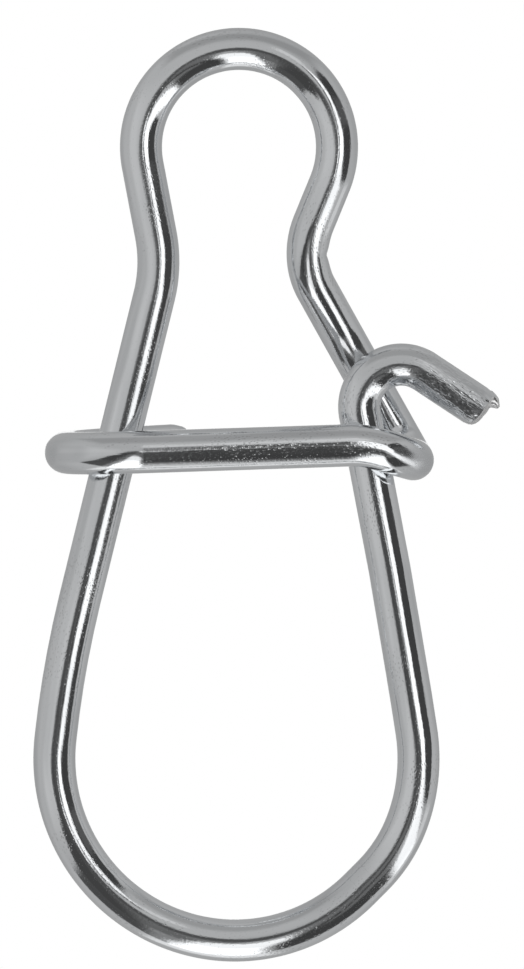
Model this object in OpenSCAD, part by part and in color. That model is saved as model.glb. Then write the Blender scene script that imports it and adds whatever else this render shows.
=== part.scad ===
// Wire lock snap: one bent wire with a line eye, a lure loop, a crossbar and a hooked spring gate.
// X is to the right, Y is away from the front, Z is up. The origin is the centre of the line eye.

/* [Wire] */
// Diameter of the wire
wire_d = 1.5; // [1.3:0.05:1.5]
// Air between two wires that cross
cross_gap = 0.06; // [0.05:0.01:0.1]

/* [Line eye] */
// Radius of the eye, to the middle of the wire
eye_r = 3.475; // [3.4:0.025:3.55]
// Right neck, sideways from the eye's centre
right_neck_x = 2.14; // [2.1:0.01:2.18]
// Right neck, height
right_neck_z = -3.94; // [-4:0.01:-3.9]
// Bend radius of the right neck
right_neck_r = 2.55; // [2.2:0.05:2.7]
// Left neck, sideways from the eye's centre
left_neck_x = -2.74; // [-2.8:0.01:-2.7]
// Left neck, height
left_neck_z = -4.21; // [-4.3:0.01:-4.1]
// Bend radius of the left neck
left_neck_r = 5.1; // [4.5:0.1:6]

/* [Lure loop] */
// Radius of the loop, to the middle of the wire
loop_r = 6.455; // [6.4:0.005:6.5]
// Centre of the loop, sideways
loop_x = -0.09; // [-0.15:0.01:-0.05]
// Centre of the loop, height
loop_z = -21.69; // [-21.75:0.01:-21.65]
// Bow of the spine, sideways
spine_x = -6.24; // [-6.3:0.01:-6.2]
// Bow of the spine, height
spine_z = -18.48; // [-18.6:0.02:-18.4]

/* [Latch] */
// End of the tail, sideways
tail_x = -1.75; // [-2:0.01:-1.7]
// End of the tail, height
tail_z = -10.53; // [-10.6:0.01:-10.5]
// How far the tail's end stands back from the spine
tail_back = 1.2; // [1.15:0.05:1.3]
// Outermost line of the wrap round the spine, sideways
wrap_x = -6.13; // [-6.2:0.01:-6.1]
// Height where the crossbar runs into the wrap
wrap_front_z = -10.92; // [-10.95:0.01:-10.9]
// Height where the tail runs into the wrap
wrap_back_z = -10.78; // [-10.8:0.01:-10.75]
// How far the crossbar's left end stands forward of its right end
bar_lean = 1.5; // [1.4:0.05:1.55]
// How far the wrap's back stands behind a wire that lies against the spine
wrap_back = 0.45; // [0.4:0.05:0.5]
// Bend radius of the wrap round the spine
wrap_r = 2.4; // [2.3:0.05:2.4]
// Bend at the crossbar's right end, sideways
bar_x = 4.46; // [4.4:0.01:4.5]
// Bend at the crossbar's right end, height
bar_z = -10.57; // [-10.6:0.01:-10.55]
// Corner bend, sideways
corner_x = 6.16; // [6.16:0.01:6.2]
// Corner bend, height
corner_z = -11.09; // [-11.1:0.01:-11.05]
// Bend radius of the corner
corner_r = 1.35; // [1.2:0.05:1.35]
// Where the upper arm leaves its back plane, sideways
upper_x = 3.88; // [3.85:0.01:3.9]
// Where the upper arm leaves its back plane, height
upper_z = -7.02; // [-7.1:0.01:-7]
// Bend radius where the upper arm leaves its back plane
upper_r = 4; // [2:0.5:5]

/* [Gate] */
// Bow of the gate arm, sideways
arm_x = 5.4; // [5.38:0.01:5.42]
// Bow of the gate arm, height
arm_z = -14.98; // [-15.1:0.02:-14.9]
// Corner that the hook rounds, sideways
hook_x = 3.57; // [3.55:0.01:3.6]
// Corner that the hook rounds, height
hook_z = -5.97; // [-6:0.01:-5.95]
// Bend radius of the hook
hook_r = 1.5; // [1.45:0.01:1.5]
// End of the hook, sideways
tip_x = 8.59; // [8.4:0.01:8.6]
// End of the hook, height
tip_z = -9.29; // [-9.4:0.01:-9.2]
// Length of the torn lip on the sheared end
lip_length = 0.34; // [0.2:0.02:0.4]

/* [Flexing stretch] */
// Place of the flexing stretch round the loop, down from its right side
flex_angle = 45; // [44:1:46]
// Half the length of the flexing stretch
flex_half = 0.775; // [0.75:0.025:0.8]
// Angle of the tighter bends on either side of the flexing stretch
flex_ease = 15; // [14:1:18]
// Flexing point, off the middle of the stretch
flex_offset = 0.175; // [0.15:0.025:0.2]
// Air between the two halves of the flexing stretch
socket_gap = 0.03; // [0.02:0.01:0.04]

/* [Hidden] */
$fn = 48;
wire_r = wire_d / 2;
cross_y = wire_d + cross_gap;
lip_outer_r = wire_r * 0.96;
lip_r = wire_r * 0.6;
lip_shift = wire_r * 0.62;
arm_straight = 0.7;
hair = 0.002;
hair_a = 0.04;
core_half = 0.2;
core_r = wire_r / 2;

function unit(v) = v / norm(v);
function across(u) = unit(cross(u, abs(u[1]) > 0.9 ? [1, 0, 0] : [0, 1, 0]));
function turn(a, b, c) = acos(unit(b - a) * unit(c - b));
function setback(a, b, c, r) = r * tan(turn(a, b, c) / 2);
function bend_start(a, b, c, r) = b - unit(b - a) * setback(a, b, c, r);
function bend_end(a, b, c, r) = b + unit(c - b) * setback(a, b, c, r);
function on_circle(o, r, a) = o + r * [cos(a), 0, sin(a)];
function tangent_from(o, r, p, side) =
    atan2(p[2] - o[2], p[0] - o[0]) + side * acos(r / norm(p - o));

// Eye and necks
eye_o = [0, 0, 0];
right_neck = [right_neck_x, 0, right_neck_z];
left_neck = [left_neck_x, 0, left_neck_z];
eye_right_a = tangent_from(eye_o, eye_r, right_neck, 1);
eye_left_a = tangent_from(eye_o, eye_r, left_neck, -1) + 360;
eye_right = on_circle(eye_o, eye_r, eye_right_a);
eye_left = on_circle(eye_o, eye_r, eye_left_a);

// Lure loop
loop_o = [loop_x, 0, loop_z];
spine_bow = [spine_x, 0, spine_z];
arm_bow = [arm_x, 0, arm_z];
hook_corner = [hook_x, 0, hook_z];
tip_end = [tip_x, 0, tip_z];
loop_left_a = tangent_from(loop_o, loop_r, spine_bow, 1);
loop_right_a = tangent_from(loop_o, loop_r, arm_bow, -1) + 360;
loop_left = on_circle(loop_o, loop_r, loop_left_a);
loop_right = on_circle(loop_o, loop_r, loop_right_a);

// Flexing stretch
flex_a = 360 - flex_angle;
flex_dir = [-sin(flex_a), 0, cos(flex_a)];
ease_r = loop_r - flex_half / sin(flex_ease);
ease_left_o = on_circle(loop_o, loop_r - ease_r, flex_a - flex_ease);
ease_right_o = on_circle(loop_o, loop_r - ease_r, flex_a + flex_ease);
flex_start = on_circle(ease_left_o, ease_r, flex_a);
flex_end = on_circle(ease_right_o, ease_r, flex_a);
flex_point = (flex_start + flex_end) / 2 + flex_dir * flex_offset;

// Latch
tail_end = [tail_x, cross_y + tail_back, tail_z];
wrap_rear = [wrap_x, cross_y + wrap_back, wrap_back_z];
wrap_front = [wrap_x, -cross_y - bar_lean, wrap_front_z];
bar_bend = [bar_x, -cross_y, bar_z];
corner_front = [corner_x, -cross_y, corner_z];
corner_back = [corner_x, cross_y, corner_z];
upper_bend = [upper_x, cross_y, upper_z];

// Bends that run straight into the next one
bar_r = (norm(corner_front - bar_bend) - setback(bar_bend, corner_front, corner_back, corner_r))
    / tan(turn(wrap_front, bar_bend, corner_front) / 2);
spine_r = norm(loop_left - spine_bow) / tan(turn(left_neck, spine_bow, loop_left) / 2);
arm_r = (norm(hook_corner - arm_bow) - setback(arm_bow, hook_corner, tip_end, hook_r) - arm_straight)
    / tan(turn(loop_right, arm_bow, hook_corner) / 2);

// Children stand at o with their x, y and z along the three given directions
module place(o, x, y, z) {
    multmatrix([[x[0], y[0], z[0], o[0]],
                [x[1], y[1], z[1], o[1]],
                [x[2], y[2], z[2], o[2]],
                [0, 0, 0, 1]])
        children();
}

// Straight wire from a to b
module rod(a, b, r = wire_r) {
    u = unit(b - a);
    place(a, across(u), cross(u, across(u)), u)
        cylinder(r = r, h = norm(b - a));
}

// Straight wire that stops a hair short of its neighbours in the same section
module short_rod(a, b) {
    u = unit(b - a);
    rod(a + u * hair, b - u * hair);
}

// Core that carries a section on from one of its pieces to the next
module core(p, u) {
    rod(p - u * core_half, p + u * core_half, core_r);
}

// Wire bent at b on its way from a to c
module bend(a, b, c, r) {
    u = unit(b - a);
    w = unit(c - b);
    n = unit(w - u * (w * u));
    place(bend_start(a, b, c, r) + n * r, -n, u, cross(-n, u))
        rotate_extrude(angle = turn(a, b, c))
            translate([r, 0])
                circle(wire_r);
}

// Wire along a circle in the front plane, from angle a0 up to a1
module arc(o, r, a0, a1) {
    place(o, [cos(a0), 0, sin(a0)], [-sin(a0), 0, cos(a0)], [0, -1, 0])
        rotate_extrude(angle = a1 - a0)
            translate([r, 0])
                circle(wire_r);
}

module latch_tail() {
    color("silver")
        rod(bend_start(tail_end, wrap_rear, wrap_front, wrap_r), tail_end);
}

module latch_wrap() {
    start = bend_end(tail_end, wrap_rear, wrap_front, wrap_r);
    end = bend_start(wrap_rear, wrap_front, bar_bend, wrap_r);
    u = unit(end - start);
    color("silver")
        union() {
            bend(tail_end, wrap_rear, wrap_front, wrap_r);
            short_rod(start, end);
            rod(start - u * core_half, end + u * core_half, core_r);
            bend(wrap_rear, wrap_front, bar_bend, wrap_r);
        }
}

module cross_bar() {
    start = bend_end(wrap_rear, wrap_front, bar_bend, wrap_r);
    end = bend_start(wrap_front, bar_bend, corner_front, bar_r);
    color("silver")
        union() {
            short_rod(start - unit(end - start) * hair, end);
            core(end, unit(end - start));
            bend(wrap_front, bar_bend, corner_front, bar_r);
        }
}

module corner_bend() {
    start = bend_end(bar_bend, corner_front, corner_back, corner_r);
    end = bend_start(corner_front, corner_back, upper_bend, corner_r);
    color("silver")
        union() {
            bend(bar_bend, corner_front, corner_back, corner_r);
            short_rod(start, end);
            rod(start - [0, core_half, 0], end + [0, core_half, 0], core_r);
            bend(corner_front, corner_back, upper_bend, corner_r);
        }
}

module upper_arm() {
    start = bend_end(corner_front, corner_back, upper_bend, corner_r);
    low = bend_start(corner_back, upper_bend, right_neck, upper_r);
    high = bend_end(corner_back, upper_bend, right_neck, upper_r);
    end = bend_start(upper_bend, right_neck, eye_right, right_neck_r);
    color("silver")
        union() {
            short_rod(start, low);
            core(low, unit(low - start));
            bend(corner_back, upper_bend, right_neck, upper_r);
            core(high, unit(end - high));
            short_rod(high, end);
        }
}

module right_neck() {
    high = bend_end(upper_bend, right_neck, eye_right, right_neck_r);
    color("silver")
        union() {
            bend(upper_bend, right_neck, eye_right, right_neck_r);
            core(high, unit(eye_right - high));
            short_rod(high, eye_right);
        }
}

module line_eye() {
    color("silver")
        arc(eye_o, eye_r, eye_right_a, eye_left_a);
}

module left_neck() {
    low = bend_start(eye_left, left_neck, spine_bow, left_neck_r);
    color("silver")
        union() {
            short_rod(eye_left, low);
            core(low, unit(low - eye_left));
            bend(eye_left, left_neck, spine_bow, left_neck_r);
        }
}

module spine() {
    start = bend_end(eye_left, left_neck, spine_bow, left_neck_r);
    end = bend_start(left_neck, spine_bow, loop_left, spine_r);
    color("silver")
        union() {
            short_rod(start, end);
            core(end, unit(end - start));
            bend(left_neck, spine_bow, loop_left, spine_r);
        }
}

module lure_bend() {
    meet_a = flex_a - flex_ease;
    color("silver")
        union() {
            arc(loop_o, loop_r, loop_left_a, meet_a - hair_a);
            core(on_circle(loop_o, loop_r, meet_a), [-sin(meet_a), 0, cos(meet_a)]);
            arc(ease_left_o, ease_r, meet_a, flex_a);
        }
}

// Flexing stretch, half on the frame's side: its end is cupped round the other half
module spring_root() {
    color("gray")
        difference() {
            rod(flex_start, flex_point);
            translate(flex_point)
                sphere(wire_r + socket_gap);
        }
}

// Flexing stretch, half on the gate's side: its end is round
module spring_tip() {
    color("gray")
        union() {
            rod(flex_point, flex_end);
            intersection() {
                translate(flex_point)
                    sphere(wire_r);
                rod(flex_point - flex_dir * wire_d, flex_point + flex_dir * core_half, wire_d);
            }
        }
}

module gate_bend() {
    meet_a = flex_a + flex_ease;
    color("gainsboro")
        union() {
            arc(ease_right_o, ease_r, flex_a, meet_a);
            core(on_circle(loop_o, loop_r, meet_a), [-sin(meet_a), 0, cos(meet_a)]);
            arc(loop_o, loop_r, meet_a + hair_a, loop_right_a);
        }
}

module gate_arm() {
    low = bend_start(loop_right, arm_bow, hook_corner, arm_r);
    high = bend_end(loop_right, arm_bow, hook_corner, arm_r);
    end = bend_start(arm_bow, hook_corner, tip_end, hook_r);
    color("gainsboro")
        union() {
            short_rod(loop_right, low);
            core(low, unit(low - loop_right));
            bend(loop_right, arm_bow, hook_corner, arm_r);
            core(high, unit(end - high));
            short_rod(high, end);
        }
}

module gate_hook() {
    color("gainsboro")
        bend(arm_bow, hook_corner, tip_end, hook_r);
}

// Straight end of the hook, sheared off, with a torn lip on its upper side
module gate_tip() {
    u = unit(tip_end - hook_corner);
    lip = tip_end + across(u) * lip_shift;
    color("gainsboro")
        union() {
            rod(bend_end(arm_bow, hook_corner, tip_end, hook_r), tip_end);
            intersection() {
                rod(tip_end - u * wire_r, tip_end + u * lip_length, lip_outer_r);
                rod(lip - u * wire_r, lip + u * wire_r, lip_r);
            }
        }
}

latch_tail();
latch_wrap();
cross_bar();
corner_bend();
upper_arm();
right_neck();
line_eye();
left_neck();
spine();
lure_bend();
spring_root();
spring_tip();
gate_bend();
gate_arm();
gate_hook();
gate_tip();
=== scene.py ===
import math

import bpy
import numpy as np
from mathutils import Matrix, Vector, noise


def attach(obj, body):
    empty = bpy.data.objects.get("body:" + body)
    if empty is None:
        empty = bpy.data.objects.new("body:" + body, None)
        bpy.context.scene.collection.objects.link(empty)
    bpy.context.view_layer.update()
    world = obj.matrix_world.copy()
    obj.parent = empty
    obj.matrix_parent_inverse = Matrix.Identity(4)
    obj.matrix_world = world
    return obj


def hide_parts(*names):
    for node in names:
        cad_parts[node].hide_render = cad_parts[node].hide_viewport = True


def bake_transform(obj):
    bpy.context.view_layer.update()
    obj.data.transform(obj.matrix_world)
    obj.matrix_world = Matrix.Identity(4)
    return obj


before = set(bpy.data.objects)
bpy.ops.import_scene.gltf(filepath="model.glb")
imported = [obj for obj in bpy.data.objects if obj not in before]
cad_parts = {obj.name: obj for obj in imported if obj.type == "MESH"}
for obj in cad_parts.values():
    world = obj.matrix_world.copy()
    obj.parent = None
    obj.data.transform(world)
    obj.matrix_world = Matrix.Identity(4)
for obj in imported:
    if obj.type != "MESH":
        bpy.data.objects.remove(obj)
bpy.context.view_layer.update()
bpy.ops.object.select_all(action="DESELECT")
print("frame loaded:", len(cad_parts), "sections of wire")

# Lengths are in metres and angles in degrees. X is right, Y is back, Z is up, from the eye's centre.
mm = 1000                     # millimetres in a metre

wire = {
    "radius": 0.00075,
    "sides": 72,
    "bendStep": 1.5,          # degrees between rings in a bend
    "endStep": 0.1,           # first and last step of a bend, so that its ends shade straight
    "straightStep": 0.0005,   # length between rings on a straight
    "fineStep": 0.00005,      # between rings where an end is sheared off, or where it flexes
    "bendSpread": 0.0011,     # how far a bend's stretching is felt along the wire
    "mergeWithin": 1e-7,
    "smoothUpTo": 35,         # sharper edges than this stay sharp, in degrees
    "reshapedUpTo": 50,       # and this where the wire was reshaped after it was bent
}

eye = {
    "radius": 0.003475,
    "rightNeck": (0.00214, 0, -0.00394),
    "rightNeckRadius": 0.00255,
    "leftNeck": (-0.00274, 0, -0.00421),
    "leftNeckRadius": 0.0051,
}

loop = {
    "radius": 0.006455,
    "centre": (-0.00009, 0, -0.02169),
    "spineBow": (-0.00624, 0, -0.01848),
}

latch = {
    "tailEnd": (-0.00175, 0.00276, -0.01053),
    "wrapRear": (-0.00613, 0.00201, -0.01078),
    "wrapFront": (-0.00613, -0.00302, -0.01092),
    "wrapRadius": 0.0024,
    "barBend": (0.00446, -0.0017, -0.01057),
    "cornerFront": (0.00616, -0.00142, -0.01109),
    "cornerBack": (0.00616, 0.00156, -0.01109),
    "cornerRadius": 0.00135,
    "upperBend": (0.00388, 0.00156, -0.00702),
    "upperRadius": 0.004,
    # Places dulled: middle, how far it is whole, how far it is felt, and how much. The arm's is painted shade
    # where the gate arm and hook stand in front of it and block its reflection; the wrap's is rubbing
    "armShadeDulling": ((0.00575, 0.00156, -0.01035), 0.0013, 0.0024, 0.45),
    "rubbedWrap": ((-0.0072, -0.0006, -0.0109), 0.0008, 0.0024, 0.17),
}

gate = {
    "armBow": (0.0054, 0, -0.01498),
    "hookCorner": (0.00357, 0, -0.00597),
    "hookRadius": 0.0015,
    "straight": 0.0007,       # of the arm, just below the hook
    "tipEnd": (0.00859, 0, -0.00929),
}

flex = {
    "angle": 45,              # down from the loop's right side
    "inset": 0.000102,        # how far inside the loop's circle the flexing line lies
    "before": 0.000175,       # length that flexes, before and after the circle's nearest point
    "after": 0.000475,
    "play": 0.000002,         # air at each end of the flexing stretch, so that it turns free
}


def unit(v):
    return v / np.linalg.norm(v)


def turn(a, b, c):
    return math.acos(unit(b - a) @ unit(c - b))


def setback(a, b, c, r):
    return r * math.tan(turn(a, b, c) / 2)


def bendStart(a, b, c, r):
    return b - unit(b - a) * setback(a, b, c, r)


def bendEnd(a, b, c, r):
    return b + unit(c - b) * setback(a, b, c, r)


def onCircle(o, r, a):
    return o + r * np.array((math.cos(a), 0, math.sin(a)))


def tangentFrom(o, r, p, side):
    return math.atan2(p[2] - o[2], p[0] - o[0]) + side * math.acos(r / np.linalg.norm(p - o))


def straightTo(a, b, step=wire["straightStep"]):
    return {"kind": "straight", "way": unit(b - a), "length": np.linalg.norm(b - a), "step": step}


def bendAt(a, b, c, r):
    u = unit(b - a)
    n = unit(unit(c - b) - u * (unit(c - b) @ u))
    return {"kind": "bend", "centre": bendStart(a, b, c, r) + n * r, "axis": np.cross(u, n),
            "angle": turn(a, b, c)}


def arcOn(o, a0, a1):
    return {"kind": "bend", "centre": o, "axis": np.array((0.0, -1.0, 0.0)), "angle": a1 - a0}


def points(source, *names):
    return [np.array(source[name], float) for name in names]


eyeCentre = np.zeros(3)
rightNeck, leftNeck = points(eye, "rightNeck", "leftNeck")
eyeRightAngle = tangentFrom(eyeCentre, eye["radius"], rightNeck, 1)
eyeLeftAngle = tangentFrom(eyeCentre, eye["radius"], leftNeck, -1) + 2 * math.pi
eyeRight = onCircle(eyeCentre, eye["radius"], eyeRightAngle)
eyeLeft = onCircle(eyeCentre, eye["radius"], eyeLeftAngle)

loopCentre, spineBow = points(loop, "centre", "spineBow")
armBow, hookCorner, tipEnd = points(gate, "armBow", "hookCorner", "tipEnd")
loopLeftAngle = tangentFrom(loopCentre, loop["radius"], spineBow, 1)
loopRightAngle = tangentFrom(loopCentre, loop["radius"], armBow, -1) + 2 * math.pi
loopLeft = onCircle(loopCentre, loop["radius"], loopLeftAngle)
loopRight = onCircle(loopCentre, loop["radius"], loopRightAngle)

# The loop eases in to the flexing line on slightly tighter bends
flexAngle = 2 * math.pi - math.radians(flex["angle"])
easeBefore, easeAfter = (2 * math.atan(flex["inset"] / flex[side]) for side in ("before", "after"))
beforeRadius = loop["radius"] - flex["before"] / math.sin(easeBefore)
afterRadius = loop["radius"] - flex["after"] / math.sin(easeAfter)
beforeCentre = onCircle(loopCentre, loop["radius"] - beforeRadius, flexAngle - easeBefore)
afterCentre = onCircle(loopCentre, loop["radius"] - afterRadius, flexAngle + easeAfter)
flexStart = onCircle(beforeCentre, beforeRadius, flexAngle)
flexEnd = onCircle(afterCentre, afterRadius, flexAngle)

tailEnd, wrapRear, wrapFront = points(latch, "tailEnd", "wrapRear", "wrapFront")
barBend, upperBend = points(latch, "barBend", "upperBend")
cornerFront, cornerBack = points(latch, "cornerFront", "cornerBack")
wrapRadius, cornerRadius, upperRadius = latch["wrapRadius"], latch["cornerRadius"], latch["upperRadius"]
cornerSetback = setback(barBend, cornerFront, cornerBack, cornerRadius)
barRadius = (np.linalg.norm(cornerFront - barBend) - cornerSetback) \
    / math.tan(turn(wrapFront, barBend, cornerFront) / 2)
spineRadius = np.linalg.norm(loopLeft - spineBow) / math.tan(turn(leftNeck, spineBow, loopLeft) / 2)
hookSetback = setback(armBow, hookCorner, tipEnd, gate["hookRadius"])
armRadius = (np.linalg.norm(hookCorner - armBow) - hookSetback - gate["straight"]) \
    / math.tan(turn(loopRight, armBow, hookCorner) / 2)

wrapMid = [bendEnd(tailEnd, wrapRear, wrapFront, wrapRadius),
           bendStart(wrapRear, wrapFront, barBend, wrapRadius)]
wrapEnd = bendEnd(wrapRear, wrapFront, barBend, wrapRadius)
barStart = bendStart(wrapFront, barBend, cornerFront, barRadius)
cornerMid = [bendEnd(barBend, cornerFront, cornerBack, cornerRadius),
             bendStart(cornerFront, cornerBack, upperBend, cornerRadius)]
cornerEnd = bendEnd(cornerFront, cornerBack, upperBend, cornerRadius)
upperLow = bendStart(cornerBack, upperBend, rightNeck, upperRadius)
upperHigh = bendEnd(cornerBack, upperBend, rightNeck, upperRadius)
neckLow = bendStart(upperBend, rightNeck, eyeRight, eye["rightNeckRadius"])
neckHigh = bendEnd(upperBend, rightNeck, eyeRight, eye["rightNeckRadius"])
leftHigh = bendStart(eyeLeft, leftNeck, spineBow, eye["leftNeckRadius"])
leftLow = bendEnd(eyeLeft, leftNeck, spineBow, eye["leftNeckRadius"])
spineStart = bendStart(leftNeck, spineBow, loopLeft, spineRadius)
armLow = bendStart(loopRight, armBow, hookCorner, armRadius)
armHigh = bendEnd(loopRight, armBow, hookCorner, armRadius)
hookStart = bendStart(armBow, hookCorner, tipEnd, gate["hookRadius"])
hookEnd = bendEnd(armBow, hookCorner, tipEnd, gate["hookRadius"])

# Each section in order along the wire: its name, the CAD nodes it stands for, its body, its moves
sections = [
    ("latchTail", ["latch_tail"], "frame",
     [straightTo(tailEnd, bendStart(tailEnd, wrapRear, wrapFront, wrapRadius), wire["fineStep"])]),
    ("latchWrap", ["latch_wrap"], "frame",
     [bendAt(tailEnd, wrapRear, wrapFront, wrapRadius), straightTo(*wrapMid),
      bendAt(wrapRear, wrapFront, barBend, wrapRadius)]),
    ("crossBar", ["cross_bar"], "frame",
     [straightTo(wrapEnd, barStart), bendAt(wrapFront, barBend, cornerFront, barRadius)]),
    ("cornerBend", ["corner_bend"], "frame",
     [bendAt(barBend, cornerFront, cornerBack, cornerRadius), straightTo(*cornerMid),
      bendAt(cornerFront, cornerBack, upperBend, cornerRadius)]),
    ("upperArm", ["upper_arm"], "frame",
     [straightTo(cornerEnd, upperLow), bendAt(cornerBack, upperBend, rightNeck, upperRadius),
      straightTo(upperHigh, neckLow)]),
    ("rightNeck", ["right_neck"], "frame",
     [bendAt(upperBend, rightNeck, eyeRight, eye["rightNeckRadius"]), straightTo(neckHigh, eyeRight)]),
    ("lineEye", ["line_eye"], "frame", [arcOn(eyeCentre, eyeRightAngle, eyeLeftAngle)]),
    ("leftNeck", ["left_neck"], "frame",
     [straightTo(eyeLeft, leftHigh), bendAt(eyeLeft, leftNeck, spineBow, eye["leftNeckRadius"])]),
    ("spineLeg", ["spine"], "frame",
     [straightTo(leftLow, spineStart), bendAt(leftNeck, spineBow, loopLeft, spineRadius)]),
    ("lureBend", ["lure_bend"], "frame",
     [arcOn(loopCentre, loopLeftAngle, flexAngle - easeBefore),
      arcOn(beforeCentre, flexAngle - easeBefore, flexAngle)]),
    ("flexStretch", ["spring_root", "spring_tip"], None, [straightTo(flexStart, flexEnd, wire["fineStep"])]),
    ("gateBend", ["gate_bend"], "gate",
     [arcOn(afterCentre, flexAngle, flexAngle + easeAfter),
      arcOn(loopCentre, flexAngle + easeAfter, loopRightAngle)]),
    ("gateArm", ["gate_arm"], "gate",
     [straightTo(loopRight, armLow), bendAt(loopRight, armBow, hookCorner, armRadius),
      straightTo(armHigh, hookStart)]),
    ("gateHook", ["gate_hook"], "gate", [bendAt(armBow, hookCorner, tipEnd, gate["hookRadius"])]),
    ("gateTip", ["gate_tip"], "gate", [straightTo(hookEnd, tipEnd, wire["fineStep"])]),
]


def about(axis, angle):
    return np.array(Matrix.Rotation(angle, 3, Vector(axis)), float)


def note(pen, stations, curve=None):
    stations.append((pen["point"].copy(), pen["way"].copy(), pen["side"].copy(), pen["run"],
                     np.zeros(3) if curve is None else curve.copy()))


def pullStraight(pen, stations, move):
    steps = max(1, round(move["length"] / move["step"]))
    for _ in range(steps):
        bpy.ops.mesh.extrude_region_move(
            TRANSFORM_OT_translate={"value": tuple(move["way"] * (move["length"] / steps))})
        pen["point"] = pen["point"] + move["way"] * (move["length"] / steps)
        pen["run"] += move["length"] / steps
        note(pen, stations)


def bendRound(pen, stations, move):
    radius = np.linalg.norm(pen["point"] - move["centre"])
    small = math.radians(wire["endStep"])
    middle = move["angle"] - 2 * small
    steps = max(2, round(math.degrees(middle) / wire["bendStep"]))
    for share, count in ((small, 1), (middle, steps), (small, 1)):
        bpy.ops.mesh.spin(steps=count, angle=-share, center=tuple(move["centre"]), axis=tuple(move["axis"]))
        for _ in range(count):
            m = about(move["axis"], share / count)
            pen["point"] = move["centre"] + m @ (pen["point"] - move["centre"])
            pen["way"], pen["side"] = m @ pen["way"], m @ pen["side"]
            pen["run"] += radius * share / count
            # The curvature, as an arrow outwards from the bend
            note(pen, stations, (pen["point"] - move["centre"]) / radius ** 2)


def startRing(name, pen):
    columns = np.column_stack((pen["side"], np.cross(pen["way"], pen["side"]), pen["way"]))
    facing = Matrix(columns.tolist()).to_euler()
    bpy.ops.object.select_all(action="DESELECT")
    bpy.ops.mesh.primitive_circle_add(vertices=wire["sides"], radius=wire["radius"], fill_type="NOTHING",
                                      location=tuple(pen["point"]), rotation=facing)
    piece = bpy.context.object
    piece.name = piece.data.name = name
    bpy.ops.object.transform_apply(location=True, rotation=True, scale=True)
    bpy.ops.object.mode_set(mode="EDIT")
    bpy.ops.mesh.select_mode(type="VERT")
    bpy.ops.mesh.select_all(action="SELECT")
    return piece


# A sheared end is filled with rings that close on its middle
def fillEnd(pen):
    rings = shear["rings"]
    for ring in range(rings, 1, -1):
        bpy.ops.mesh.extrude_region_move(TRANSFORM_OT_translate={"value": (0, 0, 0)})
        bpy.ops.transform.resize(value=((ring - 1) / ring,) * 3, center_override=tuple(pen["point"]))
    bpy.ops.mesh.extrude_region_move(TRANSFORM_OT_translate={"value": (0, 0, 0)})
    bpy.ops.mesh.merge(type="CENTER")


def closeWire():
    bpy.ops.mesh.select_all(action="SELECT")
    bpy.ops.mesh.remove_doubles(threshold=wire["mergeWithin"])
    bpy.ops.mesh.fill_holes(sides=0)
    bpy.ops.mesh.select_all(action="SELECT")
    bpy.ops.mesh.normals_make_consistent(inside=False)
    bpy.ops.object.mode_set(mode="OBJECT")
    bpy.ops.object.shade_smooth_by_angle(angle=math.radians(wire["smoothUpTo"]))


def readPoints(piece):
    co = np.empty(len(piece.data.vertices) * 3, np.float32)
    piece.data.vertices.foreach_get("co", co)
    return co.reshape(-1, 3).astype(float)


def writePoints(piece, co):
    piece.data.vertices.foreach_set("co", co.astype(np.float32).ravel())
    piece.data.update()


# Bending works a little way into the straights, so the curvature is averaged over a stretch
def spreadBends(routes):
    run = np.array([station[3] for stations in routes.values() for station in stations])
    curve = np.array([station[4] for stations in routes.values() for station in stations])
    share = np.gradient(run).clip(1e-9)
    for stations in routes.values():
        for k, station in enumerate(stations):
            weight = np.maximum(0, 1 - np.abs(run - station[3]) / wire["bendSpread"]) * share
            stations[k] = (*station[:4], (curve * weight[:, None]).sum(0) / weight.sum())


# Where each point lies on the wire, and how far its surface was stretched, for the finishes
def lieAlong(piece, stations):
    co = readPoints(piece)
    at, way, side, run, out = (np.array(column) for column in zip(*stations))
    nearest = np.argmin(((co[:, None, :] - at[None, :, :]) ** 2).sum(2), axis=1)
    off = co - at[nearest]
    way, side, run, out = way[nearest], side[nearest], run[nearest], out[nearest]
    other = np.cross(way, side)
    along = np.stack(((off * side).sum(1), (off * other).sum(1), run + (off * way).sum(1)), 1) * mm
    # Millimetres across, across the other way, and along
    place = piece.data.attributes.new("wirePlace", "FLOAT_VECTOR", "POINT")
    place.data.foreach_set("vector", along.astype(np.float32).ravel())
    # Strain of the surface where it was bent
    stretch = piece.data.attributes.new("strainRubAndShade", "FLOAT", "POINT")
    stretch.data.foreach_set("value", (off * out).sum(1).astype(np.float32))


# Dulls the wire round a place, on top of its bends' stretching: rubbing at the wrap, and painted shade on the
# arm behind the gate
def dullForRubAndShade(piece, place, whole, reach, amount):
    stretch = piece.data.attributes["strainRubAndShade"]
    values = np.empty(len(stretch.data), np.float32)
    stretch.data.foreach_get("value", values)
    far = np.linalg.norm(readPoints(piece) - np.array(place), axis=1)
    stretch.data.foreach_set("value", (values + amount * (1 - smooth(whole, reach, far))).astype(np.float32))


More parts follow.
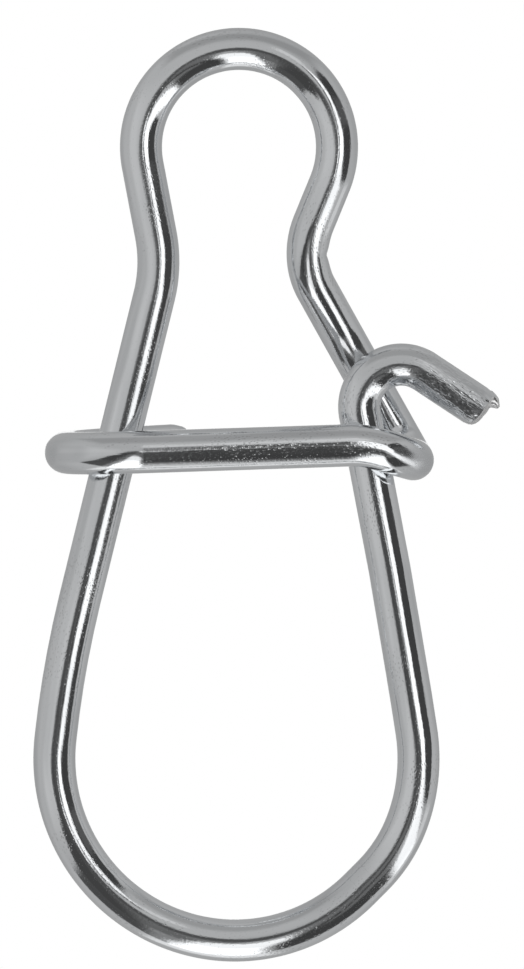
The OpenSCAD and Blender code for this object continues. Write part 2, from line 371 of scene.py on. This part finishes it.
shear = {
    "rings": 20,
    "cutWithin": 1e-6,        # faces this near the end's plane are the cut
    "reach": 0.0003,          # how far back from the end the shape is pulled
    "rough": 0.00002,         # height of the torn grain
    "grains": ((0.00022, 1), (0.00009, 0.6), (0.00004, 0.35)),   # size of a grain, and its share
    "grainMiddle": 1.2,       # how much stronger the grain is in the middle than at the rim
    "edge": 0.00005,          # how much the rim is rolled over
    "rimFrom": 0.86,          # where the rim begins, in wire radii
    "rimSpread": 0.035,       # and how far it spreads, in wire radii
    # Shape of the hook's end from its lower side (-1) to its upper side (1), in metres past tipEnd
    "tipRise": ((-1.0, -0.00007), (-0.94, 0.00005), (-0.74, 0.00018), (-0.3, 0.00025),
                (0.28, 0.00027), (0.42, 0.0004), (0.56, 0.00054), (0.7, 0.00054),
                (0.86, 0.00044), (0.95, 0.00028), (1.0, 0.0001)),
    "tipFace": 0.00025,       # up to this rise the whole width stands out, past it the tongue only
    "tipHollow": 0.00006,     # how far the end's middle is sunk
    "tipLean": 0.00013,       # how far the end's front edge stays behind its back edge
    "tongueHalf": 0.7,        # half the width of the torn tongue, in wire radii
    "tongueSide": 0.15,       # and how far its middle is to the back
    "tongueFade": (0.12, 0.06),         # its edge inside and outside that width
    "tongueCurl": 0.00007,
    "curlFrom": 0.00026,      # rise at which the curl begins
    "curlWhole": 0.0005,      # and is whole
    "tailSlant": 0.0001,
    "tailReach": 0.0007,      # length over which the tail's upper side is worn down to its end
    "tailDrop": 0.00014,
    "tailFall": 1.5,          # how much the wear keeps to the upper side
}


def smooth(low, high, v):
    t = np.clip((v - low) / (high - low), 0, 1)
    return t * t * (3 - 2 * t)


def grain(spot, size):
    return noise.noise(Vector(spot) / size)


def tipShape(up, back):
    rise = float(np.interp(up, *zip(*shear["tipRise"])))
    face = min(rise, shear["tipFace"])
    tongue = rise - face
    inside, outside = shear["tongueFade"]
    inTongue = 1 - smooth(shear["tongueHalf"] - inside, shear["tongueHalf"] + outside,
                          abs(back - shear["tongueSide"]))
    hollow = shear["tipHollow"] * (1 - min(1, up * up + back * back))
    return face - shear["tipLean"] * (1 - back) / 2 - hollow + tongue * inTongue


def tailShape(up, back):
    return shear["tailSlant"] * (up - back) / 2 - shear["tailSlant"]


# Pulls a filled end into its sheared shape: outward is along the wire, up is across it
def shearEnd(piece, end, outward, up, shape):
    back = np.cross(outward, up) * (1 if np.cross(outward, up)[1] > 0 else -1)
    co = readPoints(piece)
    for i, spot in enumerate(co):
        rel = (spot - end) / wire["radius"]
        along, s, b = (rel @ outward) * wire["radius"], rel @ up, rel @ back
        if along < -shear["reach"]:
            continue
        pull = smooth(-shear["reach"], 0, along)
        rim = smooth(shear["rimFrom"], 1.0, math.hypot(s, b))
        rough = sum(share * grain(spot, size) for size, share in shear["grains"])
        lift = shape(s, b) + shear["rough"] * rough * (shear["grainMiddle"] - rim) - shear["edge"] * rim
        curl = shear["tongueCurl"] * smooth(shear["curlFrom"], shear["curlWhole"], lift) \
            + shear["rimSpread"] * wire["radius"] * pull * rim * (1 + rough)
        co[i] = spot + outward * lift * pull - up * curl * pull * (1 if s > 0 else -1)
    writePoints(piece, co)


# Wears the upper side of the tail down towards its end
def taperTail(piece, end, outward):
    co = readPoints(piece)
    for i, spot in enumerate(co):
        along, high = (spot - end) @ outward, (spot - end)[2] / wire["radius"]
        drop = shear["tailDrop"] * smooth(-shear["tailReach"], 0, along) * max(0, high) ** shear["tailFall"]
        co[i] = spot - np.array((0, 0, drop))
    writePoints(piece, co)


# Draws a straight piece's ends in a little along its line
def freeEnds(piece, start, end, play):
    co = readPoints(piece)
    along = (co - start) @ unit(end - start)
    share = 2 * along / np.linalg.norm(end - start) - 1
    writePoints(piece, co - share[:, None] * play * unit(end - start))


crease = {
    "place": (0.0031, 0, -0.00383),   # on the right neck's inner side
    "depth": 0.00009,
    "length": 0.0005,
    "width": 0.0007,
    "sharpness": 2.5,         # higher is a narrower nick
}


# Nicks the tight side of the right neck, where the wire was bent over an edge
def creaseNeck(piece):
    place, = points(crease, "place")
    inward = unit(rightNeck - place)
    along = unit(np.cross(inward, (0.0, 1.0, 0.0)))
    co = readPoints(piece)
    for i, spot in enumerate(co):
        rel = spot - place
        run, wide = abs(rel @ along), np.linalg.norm(rel - along * (rel @ along))
        sharp = max(0, 1 - run / crease["length"]) ** crease["sharpness"]
        co[i] = spot + inward * crease["depth"] * sharp * (1 - smooth(0, crease["width"], wide))
    writePoints(piece, co)


pen = {"point": tailEnd.copy(), "way": sections[0][3][0]["way"].copy(), "run": 0.0}
pen["side"] = unit(np.cross(pen["way"], (0.0, 1.0, 0.0)))
pieces, routes = {}, {}
for name, nodes, _, moves in sections:
    piece = startRing(name, pen)
    stations = []
    note(pen, stations)
    if name == "latchTail":
        fillEnd(pen)
        bpy.ops.mesh.select_all(action="DESELECT")
        # Back to the open rim, from which the wire is drawn on
        bpy.ops.mesh.select_non_manifold(extend=False, use_wire=False, use_boundary=True,
                                         use_multi_face=False, use_non_contiguous=False,
                                         use_verts=False)
    for move in moves:
        (pullStraight if move["kind"] == "straight" else bendRound)(pen, stations, move)
    if name == "gateTip":
        fillEnd(pen)
    closeWire()
    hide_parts(*nodes)
    pieces[name], routes[name] = piece, stations
    print("formed", name, len(piece.data.vertices), "points, to", round(pen["run"] * mm, 2), "mm along")
spreadBends(routes)
for name, piece in pieces.items():
    lieAlong(piece, routes[name])
# Adds the dull places: the arm's is painted shade behind the gate arm and hook, and the wrap's is rubbing
for name, rubAndShadeSpot in (("cornerBend", "armShadeDulling"), ("upperArm", "armShadeDulling"),
                     ("latchWrap", "rubbedWrap"), ("latchTail", "rubbedWrap"), ("crossBar", "rubbedWrap")):
    dullForRubAndShade(pieces[name], *latch[rubAndShadeSpot])
print("route ends off the tip by", round(mm * float(np.linalg.norm(pen["point"] - tipEnd)), 6), "mm")

tipWay, tailWay = unit(tipEnd - hookCorner), unit(tailEnd - wrapRear)
cutFaces = {}
for name, end, way in (("gateTip", tipEnd, tipWay), ("latchTail", tailEnd, tailWay)):
    cutFaces[name] = [face.index for face in pieces[name].data.polygons
                      if (np.array(face.center) - end) @ way > -shear["cutWithin"]]
shearEnd(pieces["gateTip"], tipEnd, tipWay, unit(np.cross(tipWay, (0.0, 1.0, 0.0))), tipShape)
shearEnd(pieces["latchTail"], tailEnd, tailWay, unit(np.cross((0.0, 1.0, 0.0), tailWay)), tailShape)
taperTail(pieces["latchTail"], tailEnd, tailWay)
creaseNeck(pieces["rightNeck"])
freeEnds(pieces["flexStretch"], flexStart, flexEnd, flex["play"])
for name in ("gateTip", "latchTail", "rightNeck"):
    bpy.ops.object.select_all(action="DESELECT")
    pieces[name].select_set(True)
    bpy.context.view_layer.objects.active = pieces[name]
    bpy.ops.object.shade_smooth_by_angle(angle=math.radians(wire["reshapedUpTo"]))
print("ends sheared and neck creased")


noiseRoughness = 0.6          # of every noise in the finishes


# Every group reads the place on the wire; its other inputs are numbers, given with their defaults
def makeGroup(name, inputs, outputs):
    group = bpy.data.node_groups.new(name, "ShaderNodeTree")
    group.interface.new_socket("Place", in_out="INPUT", socket_type="NodeSocketVector")
    for label, value in inputs.items():
        group.interface.new_socket(label, in_out="INPUT", socket_type="NodeSocketFloat").default_value = value
    for label in outputs:
        group.interface.new_socket(label, in_out="OUTPUT", socket_type="NodeSocketFloat")
    return group, group.nodes.new("NodeGroupInput"), group.nodes.new("NodeGroupOutput")


def addNode(tree, kind, **settings):
    node = tree.nodes.new(kind)
    for key, value in settings.items():
        if key in node.inputs:
            node.inputs[key].default_value = value
        else:
            setattr(node, key, value)
    return node


# Sets a socket to a number, or links it to another socket
def feed(tree, term, socket):
    if isinstance(term, (int, float)):
        socket.default_value = term
    else:
        tree.links.new(term, socket)


# Joins sockets and numbers through one Math node
def reckon(tree, operation, *terms, clamp=False):
    node = addNode(tree, "ShaderNodeMath", operation=operation, use_clamp=clamp)
    for slot, term in enumerate(terms):
        feed(tree, term, node.inputs[slot])
    return node.outputs[0]


# Rises smoothly from 0 at low to 1 at high
def ramp(tree, value, low, high):
    node = addNode(tree, "ShaderNodeMapRange", interpolation_type="SMOOTHSTEP", clamp=True)
    for label, term in (("Value", value), ("From Min", low), ("From Max", high)):
        feed(tree, term, node.inputs[label])
    return node.outputs["Result"]


# Noise with scale cells to a millimetre, drawn out along the wire
def noiseAt(tree, place, scale, stretch, detail=2.0):
    mapped = addNode(tree, "ShaderNodeMapping", Scale=(1, 1, 1 / stretch))
    tree.links.new(place, mapped.inputs["Vector"])
    texture = addNode(tree, "ShaderNodeTexNoise", Detail=detail, Roughness=noiseRoughness)
    tree.links.new(mapped.outputs[0], texture.inputs["Vector"])
    feed(tree, scale, texture.inputs["Scale"])
    return texture.outputs[0]


drawing = {
    "lineStretch": 30, "lineDetail": 3.0,
    "streakShare": 0.3,       # the streaks' scale against the lines'
    "streakStretch": 14, "streakDetail": 1.0,
    "streakFrom": 0.4, "streakWhole": 0.66,
}


# Lines left along the wire by the drawing die: Lines is 0 to 1, about 0.5
def makeDrawLines():
    group, start, end = makeGroup("drawLines", {"Scale": 8.0}, ["Lines", "Streaks"])
    place, scale = start.outputs["Place"], start.outputs["Scale"]
    lines = noiseAt(group, place, scale, drawing["lineStretch"], drawing["lineDetail"])
    wide = noiseAt(group, place, reckon(group, "MULTIPLY", scale, drawing["streakShare"]),
                   drawing["streakStretch"], drawing["streakDetail"])
    group.links.new(lines, end.inputs["Lines"])
    group.links.new(ramp(group, wide, drawing["streakFrom"], drawing["streakWhole"]), end.inputs["Streaks"])
    return group


pitting = {
    "clusterScale": 0.9, "clusterStretch": 2.5,
    "clusterFrom": 0.42, "clusterWhole": 0.62,
    "wall": 0.3,              # width of a pit's sloping wall, in cells
}


# Small pits in the plating, in clusters: Pits is 1 in a pit
def makePits():
    group, start, end = makeGroup("platingPits", {"Scale": 9.0, "Amount": 0.5, "Cover": 0.0, "Length": 1.8},
                                  ["Pits"])
    place = start.outputs["Place"]
    squeezed = addNode(group, "ShaderNodeCombineXYZ", X=1.0, Y=1.0)
    group.links.new(reckon(group, "DIVIDE", 1.0, start.outputs["Length"]), squeezed.inputs["Z"])
    mapped = group.nodes.new("ShaderNodeMapping")
    group.links.new(place, mapped.inputs["Vector"])
    group.links.new(squeezed.outputs[0], mapped.inputs["Scale"])
    cells = addNode(group, "ShaderNodeTexVoronoi", feature="F1")
    group.links.new(mapped.outputs[0], cells.inputs["Vector"])
    group.links.new(start.outputs["Scale"], cells.inputs["Scale"])
    cluster = ramp(group, noiseAt(group, place, pitting["clusterScale"], pitting["clusterStretch"]),
                   pitting["clusterFrom"], pitting["clusterWhole"])
    size = reckon(group, "MULTIPLY", start.outputs["Amount"],
                  reckon(group, "MAXIMUM", cluster, start.outputs["Cover"]))
    inPit = reckon(group, "SUBTRACT", size, cells.outputs["Distance"])
    group.links.new(ramp(group, inPit, 0, pitting["wall"]), end.inputs["Pits"])
    return group


opening = {
    "patchScale": 1.6, "patchStretch": 1.5,
    "patchDepth": 0.25,       # how unevenly the satin begins, in strain
    "peelScale": 22.0, "peelStretch": 1.3, "peelDetail": 3.0,
}


# How far the surface was opened into an orange-peel satin by bending, and dulled by rubbing and by painted
# shade where those were added to the strain: Satin is 0 to 1
def makeSatin():
    group, start, end = makeGroup("bentSatin", {"Stretch": 0.0, "Least": 0.32, "Most": 0.5},
                                  ["Satin", "Peel"])
    place = start.outputs["Place"]
    patches = noiseAt(group, place, opening["patchScale"], opening["patchStretch"])
    uneven = reckon(group, "MULTIPLY", reckon(group, "SUBTRACT", patches, 0.5), opening["patchDepth"])
    strain = reckon(group, "ADD", start.outputs["Stretch"], uneven)
    group.links.new(ramp(group, strain, start.outputs["Least"], start.outputs["Most"]), end.inputs["Satin"])
    peel = noiseAt(group, place, opening["peelScale"], opening["peelStretch"], opening["peelDetail"])
    group.links.new(peel, end.inputs["Peel"])
    return group


# Scale, stretch along the wire and detail of each kind of unevenness
unevenness = {
    "Waves": (0.8, 3.0, 1.0),
    "Ripples": (3.0, 4.0, 1.0),
    "Grain": (13.0, 1.6, 2.0),
}


# Waves, ripples and grain left in the wire by rolling and plating: each input is a height
def makeRelief():
    group, start, end = makeGroup("wireRelief", {"Waves": 8.0, "Ripples": 2.0, "Grain": 1.0}, ["Height"])
    height = 0.0
    for label, pattern in unevenness.items():
        rise = noiseAt(group, start.outputs["Place"], *pattern)
        height = reckon(group, "MULTIPLY_ADD", rise, start.outputs[label], height)
    group.links.new(height, end.inputs["Height"])
    return group


wearing = {
    "scoreScale": 5.0, "scoreStretch": 7.0, "scoreDetail": 3.0,
    "pitShare": 0.8,          # scale of the worn pits against the plating's
    "pitAmount": 0.52,
}


# Where the plating is rubbed off towards the hook's end: From and Whole are mm along the wire
def makeWear():
    group, start, end = makeGroup("tipWear", {"From": 0.0, "Whole": 1.0}, ["Wear", "Scores"])
    place = start.outputs["Place"]
    split = group.nodes.new("ShaderNodeSeparateXYZ")
    group.links.new(place, split.inputs[0])
    wear = ramp(group, split.outputs["Z"], start.outputs["From"], start.outputs["Whole"])
    group.links.new(wear, end.inputs["Wear"])
    scores = noiseAt(group, place, wearing["scoreScale"], wearing["scoreStretch"], wearing["scoreDetail"])
    group.links.new(scores, end.inputs["Scores"])
    return group


drawLines, platingPits, bentSatin = makeDrawLines(), makePits(), makeSatin()
wireRelief, tipWear = makeRelief(), makeWear()

# Heights are in micrometres; wear starts and is whole at these mm before the hook's end
finish = {
    "both": {"lineScale": 8.0, "streakDullness": 0.7, "heightUnit": 0.000001},
    "wire": {
        "bright": (0.83, 0.845, 0.86), "dull": (0.7, 0.715, 0.73), "pit": (0.66, 0.67, 0.68),
        "roughness": 0.05, "lineRoughness": 0.05, "satinRoughness": 0.2, "pitRoughness": 0.1,
        "wornRoughness": -0.02,
        "waves": 8.0, "ripples": 2.9, "lines": 2.8, "grain": 1.5, "peel": 0.9, "pits": 1.5,
        "pitAmount": 0.46, "pitScale": 13.0, "pitCover": 0.55,
        "wornFrom": 3.9, "wornWhole": 1.9, "scores": 40.0, "wornPits": 5.0, "wornPitLength": 3.0,
    },
    "cut": {
        "bright": (0.88, 0.88, 0.88), "dull": (0.72, 0.72, 0.73), "pit": (0.5, 0.5, 0.5),
        "roughness": 0.2, "lineRoughness": 0.08, "satinRoughness": 0.1, "pitRoughness": 0.15,
        "wornRoughness": 0.02,
        "waves": 4.0, "ripples": 8.0, "lines": 2.0, "grain": 2.0, "peel": 1.0, "pits": 2.0,
        "pitAmount": 0.5, "pitScale": 11.0, "pitCover": 0.0,
        "wornFrom": 3.9, "wornWhole": 2.3, "scores": 4.0, "wornPits": 0.0, "wornPitLength": 4.0,
    },
}
wireEnd = pen["run"] * mm   # mm along the wire to the hook's end


def useGroup(tree, group, place, **values):
    node = addNode(tree, "ShaderNodeGroup", node_tree=group)
    tree.links.new(place, node.inputs["Place"])
    for key, value in values.items():
        feed(tree, value, node.inputs[key])
    return node.outputs


# A Mix node keeps its colours at inputs 6 and 7 and at output 2
def blendColour(tree, amount, first, second):
    node = addNode(tree, "ShaderNodeMix", data_type="RGBA")
    tree.links.new(amount, node.inputs[0])
    for slot, colour in ((6, first), (7, second)):
        if isinstance(colour, tuple):
            node.inputs[slot].default_value = (*colour, 1)
        else:
            tree.links.new(colour, node.inputs[slot])
    return node.outputs[2]


def metalMaterial(name, look):
    material = bpy.data.materials.new(name)
    material.use_nodes = True
    tree = material.node_tree
    shader = tree.nodes["Principled BSDF"]
    shader.inputs["Metallic"].default_value = 1
    place = addNode(tree, "ShaderNodeAttribute", attribute_name="wirePlace").outputs["Vector"]
    # Strain from bending, with the wrap's rubbing and the arm's painted shade added
    stretch = addNode(tree, "ShaderNodeAttribute", attribute_name="strainRubAndShade").outputs["Fac"]
    worn = useGroup(tree, tipWear, place, From=wireEnd - look["wornFrom"], Whole=wireEnd - look["wornWhole"])
    lines = useGroup(tree, drawLines, place, Scale=finish["both"]["lineScale"])
    pits = useGroup(tree, platingPits, place, Scale=look["pitScale"], Amount=look["pitAmount"],
                    Cover=look["pitCover"])["Pits"]
    wornAmount = reckon(tree, "MULTIPLY", worn["Wear"], wearing["pitAmount"])
    wornPits = useGroup(tree, platingPits, place, Scale=look["pitScale"] * wearing["pitShare"], Cover=1.0,
                        Amount=wornAmount, Length=look["wornPitLength"])["Pits"]
    satin = useGroup(tree, bentSatin, place, Stretch=stretch)
    relief = useGroup(tree, wireRelief, place, Waves=look["waves"], Ripples=look["ripples"],
                      Grain=look["grain"])

    streaked = reckon(tree, "MULTIPLY", lines["Streaks"], finish["both"]["streakDullness"])
    # Streaks and satin dull the colour; on the arm behind the gate the satin is painted shade
    dulled = reckon(tree, "MAXIMUM", streaked, satin["Satin"])
    colour = blendColour(tree, dulled, look["bright"], look["dull"])
    tree.links.new(blendColour(tree, pits, colour, look["pit"]), shader.inputs["Base Color"])

    rough = look["roughness"]
    for mask, gain in ((lines["Streaks"], "lineRoughness"), (satin["Satin"], "satinRoughness"),
                       (pits, "pitRoughness"), (worn["Wear"], "wornRoughness")):
        rough = reckon(tree, "MULTIPLY_ADD", mask, look[gain], rough)
    tree.links.new(rough, shader.inputs["Roughness"])

    height = relief["Height"]
    for mask, share, gain in ((lines["Lines"], None, look["lines"]),
                              (satin["Peel"], satin["Satin"], look["peel"]),
                              (pits, None, -look["pits"]),
                              (wornPits, worn["Wear"], -look["wornPits"]),
                              (worn["Scores"], worn["Wear"], look["scores"])):
        rise = gain if share is None else reckon(tree, "MULTIPLY", share, gain)
        height = reckon(tree, "MULTIPLY_ADD", mask, rise, height)
    bump = addNode(tree, "ShaderNodeBump", Strength=1.0, Distance=finish["both"]["heightUnit"])
    tree.links.new(height, bump.inputs["Height"])
    tree.links.new(bump.outputs["Normal"], shader.inputs["Normal"])
    return material


wireMetal = metalMaterial("polishedWire", finish["wire"])
cutMetal = metalMaterial("shearedEnd", finish["cut"])
for name, piece in pieces.items():
    piece.data.materials.clear()
    piece.data.materials.append(wireMetal)
    if name in cutFaces:
        piece.data.materials.append(cutMetal)
        for index in cutFaces[name]:
            piece.data.polygons[index].material_index = 1
print("finishes ready")

for name, _, body, _ in sections:
    if body:
        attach(pieces[name], body)
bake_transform(pieces["flexStretch"])

studio = {
    "floorHeight": -0.045,
    "floorWidth": 0.5,
    "floorColour": (0.85, 0.85, 0.85, 1),
    "floorRoughness": 0.7,
    "domeRadius": 0.5,
    "domeSides": (180, 90),   # round and down
    "room": 0.475,
    "edge": 0.41,             # room level beside and behind the object
    "edgeFrom": 90,           # degrees from the camera's direction where that begins
    "edgeWhole": 140,
    "plainGrey": (0.6, 0.6, 0.6, 1),    # what lights the object from beyond the dome
    "white": (1, 1, 1, 1),
    "lampPlace": (-0.25, -0.3, 0.5),
    "lampAim": (0, 0, -0.02),
    "lampSize": 0.25,
    "lampPower": 1.6,
    "backdropOff": 168,       # degrees from the camera's direction where the white backdrop begins
    "soft": 1.6,              # half width of a card's edge, in degrees
    "lens": 400,
    "frameHeight": 0.03436,
    "frameCentre": (0.000816, -0.01197),
    "clip": (0.01, 10),
}

# Soft boxes and black cards round the object. A corner is (around, off) in degrees: around 0 is right and
# 90 is up, off is away from the camera. A later card lies over an earlier one. Soft is half its edge's width.
cards = {
    "roomBright": {"corners": [(148, 18), (150, 72), (205, 72), (212, 18)], "level": 0.57, "soft": 12},
    "roomDim": {"corners": [(48, 66), (50, 116), (128, 116), (130, 66)], "level": 0.35, "soft": 10},
    "nearCamera": {"corners": [(345, 19), (5, 11), (60, 6), (160, 8), (195, 20), (230, 16), (300, 16)],
                   "level": 0.08, "soft": 4},
    "spillBelow": {"corners": [(246, 84), (244, 114), (282, 114), (279, 86)], "level": 0.85, "soft": 5},
    "spillLowRight": {"corners": [(314, 84), (312, 112), (342, 108), (342, 84)], "level": 0.66},
    "flagLowerLeft": {"corners": [(206, 8), (208, 34), (218, 58), (246, 62), (250, 7)], "level": 0.06},
    "flagFarLeft": {"corners": [(218, 52), (218, 88), (246, 86), (246, 52)], "level": 0.08},
    "glowLeftInner": {"corners": [(245, 42), (245, 86), (254, 86), (262, 40)], "level": 0.25, "soft": 4},
    "flagLeftInner": {"corners": [(241, 10), (241, 42), (262, 42), (266, 26), (268, 10)],
                      "level": 0.14, "soft": 4},
    "spillNearBelow": {"corners": [(264, 22), (256, 44), (258, 60), (277, 60), (285, 40), (287, 24)],
                       "level": 1.1},
    "softboxBelow": {"corners": [(258, 44), (251, 72), (251, 92), (275, 92), (278, 78), (277, 48)],
                     "level": 1.4},
    "flagNearRight": {"corners": [(287, 7), (286, 50), (318, 50), (324, 7)], "level": 0.16},
    "flagLowerRight": {"corners": [(283, 44), (281, 60), (281, 82), (284, 86), (316, 86), (318, 44)],
                       "level": 0.055, "soft": 3},
    "flagRight": {"corners": [(342, 43), (343, 78), (9, 81), (40, 74), (46, 62), (44, 35)], "level": 0.055},
    "stripLowRight": {"corners": [(350, 22), (338, 25), (331, 30), (321, 47), (318, 60), (318, 94), (330, 94),
                                  (338, 66), (346, 46), (351, 38)], "level": 1.25},
    "spillRight": {"corners": [(13, 42), (13, 76), (28, 78), (30, 42)], "level": 0.1},
    "glowUpRight": {"corners": [(47, 24), (50, 30), (56, 42), (70, 42), (72, 30)], "level": 0.66},
    "stripRight": {"corners": [(350, 10), (347, 32), (353, 36), (8, 37), (16, 35), (16, 9), (4, 8)],
                   "level": 1.4},
    "stripUpRight": {"corners": [(16, 15), (15, 34), (42, 33), (50, 29), (46, 22), (30, 15)], "level": 1.3},
    "slimFlag": {"corners": [(57, 23), (46, 24), (286, 62), (281, 63)], "level": 0.05},
}


def flatSpots(around, off):
    around = np.radians(around)
    return np.stack((off * np.cos(around), off * np.sin(around)), -1)


# Degrees inside a card's nearest edge, less than 0 outside it
def depthInside(spots, corners):
    depths = []
    edges = list(zip(corners, np.roll(corners, -1, 0)))
    winding = math.copysign(1, sum(a[0] * b[1] - a[1] * b[0] for a, b in edges))
    for a, b in edges:
        edge, rel = unit(b - a), spots - a
        depths.append(winding * (edge[0] * rel[:, 1] - edge[1] * rel[:, 0]))
    return np.min(depths, axis=0)


def domeLevels(ways):
    off = np.degrees(np.arccos(np.clip(-ways[:, 1], -1, 1)))
    spots = flatSpots(np.degrees(np.arctan2(ways[:, 2], ways[:, 0])), off)
    beside = smooth(studio["edgeFrom"], studio["edgeWhole"], off)
    level = studio["room"] + (studio["edge"] - studio["room"]) * beside
    for card in cards.values():
        corners = flatSpots(*np.array(card["corners"], float).T)
        soft = card.get("soft", studio["soft"])
        level += (card["level"] - level) * smooth(-soft, soft, depthInside(spots, corners))
    return level


bpy.ops.object.select_all(action="DESELECT")
bpy.ops.mesh.primitive_uv_sphere_add(segments=studio["domeSides"][0], ring_count=studio["domeSides"][1],
                                     radius=studio["domeRadius"], rotation=(math.pi / 2, 0, 0))
dome = bpy.context.object
dome.name = "lightDome"
bpy.ops.object.transform_apply(location=True, rotation=True, scale=True)
bpy.ops.object.mode_set(mode="EDIT")
bpy.ops.mesh.select_mode(type="FACE")
bpy.ops.mesh.select_all(action="DESELECT")
bpy.ops.object.mode_set(mode="OBJECT")
for face in dome.data.polygons:
    face.select = -face.center.normalized().y < math.cos(math.radians(studio["backdropOff"]))
bpy.ops.object.mode_set(mode="EDIT")
bpy.ops.mesh.delete(type="FACE")
bpy.ops.object.mode_set(mode="OBJECT")
levels = dome.data.attributes.new("glow", "FLOAT", "POINT")
levels.data.foreach_set("value", domeLevels(readPoints(dome) / studio["domeRadius"]).astype(np.float32))
glowing = bpy.data.materials.new("domeGlow")
glowing.use_nodes = True
tree = glowing.node_tree
tree.nodes.clear()
glow = tree.nodes.new("ShaderNodeEmission")
strength = addNode(tree, "ShaderNodeAttribute", attribute_name="glow").outputs["Fac"]
tree.links.new(strength, glow.inputs["Strength"])
tree.links.new(glow.outputs[0], tree.nodes.new("ShaderNodeOutputMaterial").inputs["Surface"])
glowing.cycles.emission_sampling = "NONE"
dome.data.materials.append(glowing)
dome.visible_camera = dome.visible_diffuse = dome.visible_shadow = dome.visible_transmission = False
print("light dome ready")

bpy.ops.object.select_all(action="DESELECT")
bpy.ops.mesh.primitive_plane_add(size=studio["floorWidth"], location=(0, 0, studio["floorHeight"]))
floor = bpy.context.object
floor.name = "floor"
floorPaint = bpy.data.materials.new("paleFloor")
floorPaint.use_nodes = True
shader = floorPaint.node_tree.nodes["Principled BSDF"]
shader.inputs["Base Color"].default_value = studio["floorColour"]
shader.inputs["Roughness"].default_value = studio["floorRoughness"]
floor.data.materials.append(floorPaint)
floor.visible_glossy = False

world = bpy.data.worlds.new("studioWorld")
bpy.context.scene.world = world
world.use_nodes = True
tree = world.node_tree
tree.nodes.clear()
path = tree.nodes.new("ShaderNodeLightPath")
seen = reckon(tree, "ADD", path.outputs["Is Camera Ray"], path.outputs["Is Glossy Ray"], clamp=True)
seen = reckon(tree, "ADD", seen, path.outputs["Is Transmission Ray"], clamp=True)
plain = addNode(tree, "ShaderNodeBackground", Color=studio["plainGrey"], Strength=1.0)
white = addNode(tree, "ShaderNodeBackground", Color=studio["white"], Strength=1.0)
mixed = tree.nodes.new("ShaderNodeMixShader")
tree.links.new(seen, mixed.inputs[0])
tree.links.new(plain.outputs[0], mixed.inputs[1])
tree.links.new(white.outputs[0], mixed.inputs[2])
tree.links.new(mixed.outputs[0], tree.nodes.new("ShaderNodeOutputWorld").inputs["Surface"])

bpy.ops.object.light_add(type="AREA", location=studio["lampPlace"])
lamp = bpy.context.object
lamp.name = "softLamp"
lamp.data.shape = "SQUARE"
lamp.data.size = studio["lampSize"]
lamp.data.energy = studio["lampPower"]
lamp.rotation_euler = (Vector(studio["lampAim"]) - lamp.location).to_track_quat("-Z", "Y").to_euler()
lamp.visible_glossy = False

bpy.ops.object.camera_add()
camera = bpy.context.object
camera.name = "studioCamera"
camera.data.lens = studio["lens"]
camera.data.clip_start, camera.data.clip_end = studio["clip"]
distance = studio["frameHeight"] * studio["lens"] / camera.data.sensor_width
camera.location = (studio["frameCentre"][0], -distance, studio["frameCentre"][1])
camera.rotation_euler = (math.pi / 2, 0, 0)
bpy.context.scene.camera = camera
bpy.context.scene.view_settings.view_transform = "Standard"
print("studio ready")
